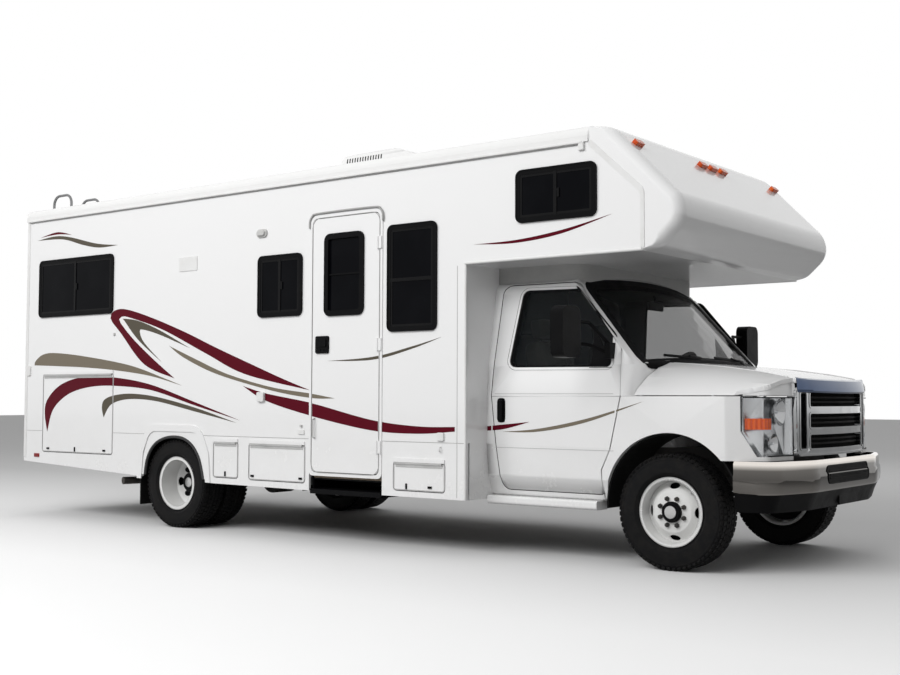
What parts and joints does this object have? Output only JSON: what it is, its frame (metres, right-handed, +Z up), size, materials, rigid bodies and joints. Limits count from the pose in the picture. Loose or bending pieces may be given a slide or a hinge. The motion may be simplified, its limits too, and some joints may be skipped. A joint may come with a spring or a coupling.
{
  "type": "class c motorhome",
  "caption": "Boxy living coach with a sleeping nose over the cab, on a cutaway van chassis with twin rear wheels; doors, hatches, bonnet, steering and wheels move.",
  "frame": {"origin": "on the ground under the middle of the overall box", "axes": "+X forward, +Y to the left side, +Z up"},
  "size_m": [7.54, 2.985, 3.169],
  "materials": {
    "white_paint": "gloss white paint",
    "white_plastic": "white moulded plastic",
    "wheel_paint": "white enamel",
    "frame_black": "black chassis paint",
    "raw_steel": "bare dark metal",
    "engine_metal": "cast metal",
    "floor_board": "sheathed floor panel",
    "box_liner": "grey lining",
    "black_plastic": "black plastic",
    "dash_plastic": "dark grey plastic",
    "seat_cloth": "grey cloth",
    "dark_glass": "tinted glass",
    "bright_metal": "bright plating",
    "door_trim": "pale aluminium",
    "lamp_clear": "clear lens",
    "lamp_amber": "amber lens",
    "lamp_red": "red lens",
    "tyre_rubber": "black rubber"
  },
  "bodies": {
    "vehicle": {"chassis_frame": "frame_black", "front_axle": "raw_steel", "rear_axle": "raw_steel", "powertrain": "engine_metal", "exhaust": "raw_steel", "fuel_tank": "frame_black", "coach_floor": "floor_board", "coach_wall_right": "white_paint", "coach_wall_left": "white_paint", "coach_rear_wall": "white_paint", "coach_roof": "white_paint", "coach_front_panels": "white_paint", "cabover_cap": "white_paint", "cabover_floor": "white_paint", "coach_skirts": "white_paint", "wheel_wells": "black_plastic", "storage_boxes": "box_liner", "window_frames": "black_plastic", "window_glass": "dark_glass", "entry_door_frame": "door_trim", "entry_step": "black_plastic", "roof_units": "white_plastic", "rear_ladder": "bright_metal", "rear_bumper": "frame_black", "marker_lamps": "lamp_amber", "tail_lamps": "lamp_red", "cab_shell": "white_paint", "front_fenders": "white_paint", "grille": "bright_metal", "headlamps": "lamp_clear", "front_bumper": "bright_metal", "bumper_valance": "black_plastic", "windscreen": "dark_glass", "dashboard": "dash_plastic", "cab_seats": "seat_cloth", "running_boards": "white_paint"},
    "entry_door": {"entry_door": "white_paint", "entry_door_glass": "dark_glass"},
    "cab_door_right": {"cab_door_right": "white_paint", "cab_door_glass_right": "dark_glass", "mirror_right": "black_plastic"},
    "cab_door_left": {"cab_door_left": "white_paint", "cab_door_glass_left": "dark_glass", "mirror_left": "black_plastic"},
    "bonnet": {"bonnet": "white_paint"},
    "hatch_rear_right": {"hatch_rear_right": "white_paint"},
    "hatch_small_right": {"hatch_small_right": "white_paint"},
    "hatch_mid_right": {"hatch_mid_right": "white_paint"},
    "hatch_front_right": {"hatch_front_right": "white_paint"},
    "hatch_rear_left": {"hatch_rear_left": "white_paint"},
    "knuckle_right": {"knuckle_right": "raw_steel"},
    "knuckle_left": {"knuckle_left": "raw_steel"},
    "front_wheel_right": {"front_wheel_right": "wheel_paint", "front_tyre_right": "tyre_rubber"},
    "front_wheel_left": {"front_wheel_left": "wheel_paint", "front_tyre_left": "tyre_rubber"},
    "rear_wheels_right": {"rear_wheels_right": "wheel_paint", "rear_tyres_right": "tyre_rubber"},
    "rear_wheels_left": {"rear_wheels_left": "wheel_paint", "rear_tyres_left": "tyre_rubber"}
  },
  "joints": [
    {"name": "entry_door_hinge", "type": "hinge", "parent": "vehicle", "child": "entry_door", "pos_m": [0.759, -1.263, 1.4], "axis": [0, 0, 1], "range_deg": [0, 160]},
    {"name": "cab_door_right_hinge", "type": "hinge", "parent": "vehicle", "child": "cab_door_right", "pos_m": [2.628, -1.003, 1], "axis": [0, 0, 1], "range_deg": [0, 68]},
    {"name": "cab_door_left_hinge", "type": "hinge", "parent": "vehicle", "child": "cab_door_left", "pos_m": [2.628, 1.003, 1], "axis": [0, 0, -1], "range_deg": [0, 68]},
    {"name": "bonnet_hinge", "type": "hinge", "parent": "vehicle", "child": "bonnet", "pos_m": [2.715, 0, 1.36], "axis": [0, -1, 0], "range_deg": [0, 50]},
    {"name": "hatch_rear_right_hinge", "type": "hinge", "parent": "vehicle", "child": "hatch_rear_right", "pos_m": [-2.84, -1.257, 1.286], "axis": [-1, 0, 0], "range_deg": [0, 90]},
    {"name": "hatch_small_right_hinge", "type": "hinge", "parent": "vehicle", "child": "hatch_small_right", "pos_m": [-0.85999, -1.257, 0.72], "axis": [-1, 0, 0], "range_deg": [0, 90]},
    {"name": "hatch_mid_right_hinge", "type": "hinge", "parent": "vehicle", "child": "hatch_mid_right", "pos_m": [-0.2815, -1.257, 0.716], "axis": [-1, 0, 0], "range_deg": [0, 90]},
    {"name": "hatch_front_right_hinge", "type": "hinge", "parent": "vehicle", "child": "hatch_front_right", "pos_m": [1.1425, -1.257, 0.621], "axis": [1, 0, 0], "range_deg": [-90, 0]},
    {"name": "hatch_rear_left_hinge", "type": "hinge", "parent": "vehicle", "child": "hatch_rear_left", "pos_m": [-2.84, 1.257, 1.286], "axis": [1, 0, 0], "range_deg": [0, 90]},
    {"name": "steer_right", "type": "hinge", "parent": "vehicle", "child": "knuckle_right", "pos_m": [2.97, -0.7695, 0.369], "axis": [0, 0, 1], "range_deg": [-33, 33]},
    {"name": "steer_left", "type": "hinge", "parent": "vehicle", "child": "knuckle_left", "pos_m": [2.97, 0.7695, 0.369], "axis": [0, 0, 1], "range_deg": [-33, 33]},
    {"name": "front_wheel_right_spin", "type": "hinge", "parent": "knuckle_right", "child": "front_wheel_right", "pos_m": [2.97, -0.8815, 0.369], "axis": [0, 1, 0], "continuous": true},
    {"name": "front_wheel_left_spin", "type": "hinge", "parent": "knuckle_left", "child": "front_wheel_left", "pos_m": [2.97, 0.8815, 0.369], "axis": [0, 1, 0], "continuous": true},
    {"name": "rear_wheels_right_spin", "type": "hinge", "parent": "vehicle", "child": "rear_wheels_right", "pos_m": [-1.5, -0.985, 0.369], "axis": [0, 1, 0], "continuous": true},
    {"name": "rear_wheels_left_spin", "type": "hinge", "parent": "vehicle", "child": "rear_wheels_left", "pos_m": [-1.5, 0.985, 0.369], "axis": [0, 1, 0], "continuous": true}
  ],
  "couplings": [
    {"joint": "steer_left", "follows": "steer_right", "ratio": 1}
  ]
}
